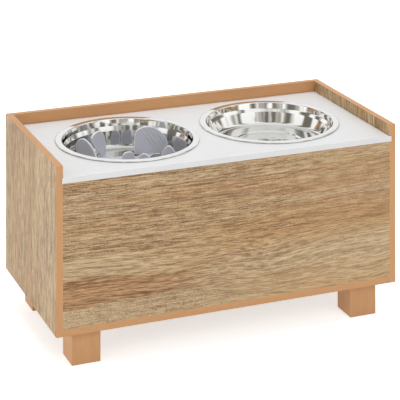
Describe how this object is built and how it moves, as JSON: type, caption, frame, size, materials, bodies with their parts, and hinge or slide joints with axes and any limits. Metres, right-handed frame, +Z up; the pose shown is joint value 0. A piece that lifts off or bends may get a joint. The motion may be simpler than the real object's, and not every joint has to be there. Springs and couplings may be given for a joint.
{
  "type": "elevated dog feeder with storage",
  "caption": "Raised dog feeder: a wood-effect storage box on short square legs, with a white flip-up lid that carries steel bowls and a slow-feeding insert.",
  "frame": {"origin": "on the floor under the middle of the box, midway between the side panels and between the front and the back", "axes": "+X to the right along the front, +Y to the back, +Z up"},
  "size_m": [0.6, 0.3024, 0.323],
  "materials": {
    "wood_effect": "wood-grain melamine, satin",
    "edge_band": "plain melamine edge banding, satin",
    "leg_wood": "plain satin",
    "white_board": "white melamine, satin",
    "stainless": "mirror polished stainless steel",
    "grey_plastic": "matt",
    "zinc": "zinc plated",
    "pin_steel": "bright steel",
    "nylon": "satin",
    "beech": "raw beech"
  },
  "bodies": {
    "cabinet": {"left_side_panel": "wood_effect", "right_side_panel": "wood_effect", "left_side_edging": "edge_band", "right_side_edging": "edge_band", "bottom_panel": "wood_effect", "bottom_edging": "edge_band", "front_panel": "wood_effect", "front_edging": "edge_band", "back_panel": "wood_effect", "back_rail": "edge_band", "rail_edging": "edge_band", "left_pivot_bush": "nylon", "right_pivot_bush": "nylon", "leg_screws": "zinc", "front_left_leg": "leg_wood", "front_right_leg": "leg_wood", "back_left_leg": "leg_wood", "back_right_leg": "leg_wood", "cam_locks": "zinc", "cam_bolts": "zinc", "panel_dowels": "beech"},
    "lid": {"lid_board": "white_board", "lid_front_strip": "white_board", "left_pivot_pin": "pin_steel", "right_pivot_pin": "pin_steel"},
    "left_bowl": {"bowl_left": "stainless"},
    "right_bowl": {"bowl_right": "stainless"},
    "insert": {"slow_feeder": "grey_plastic"}
  },
  "joints": [
    {"name": "lid_hinge", "type": "hinge", "parent": "cabinet", "child": "lid", "pos_m": [0, 0.12763, 0.2995], "axis": [-1, 0, 0], "range_deg": [0, 98]},
    {"name": "left_bowl_lift", "type": "slide", "parent": "lid", "child": "left_bowl", "axis": [0, 0, 1], "range_m": [0, 0.15]},
    {"name": "right_bowl_lift", "type": "slide", "parent": "lid", "child": "right_bowl", "axis": [0, 0, 1], "range_m": [0, 0.15]},
    {"name": "insert_lift", "type": "slide", "parent": "left_bowl", "child": "insert", "axis": [0, 0, 1], "range_m": [0, 0.1]}
  ]
}
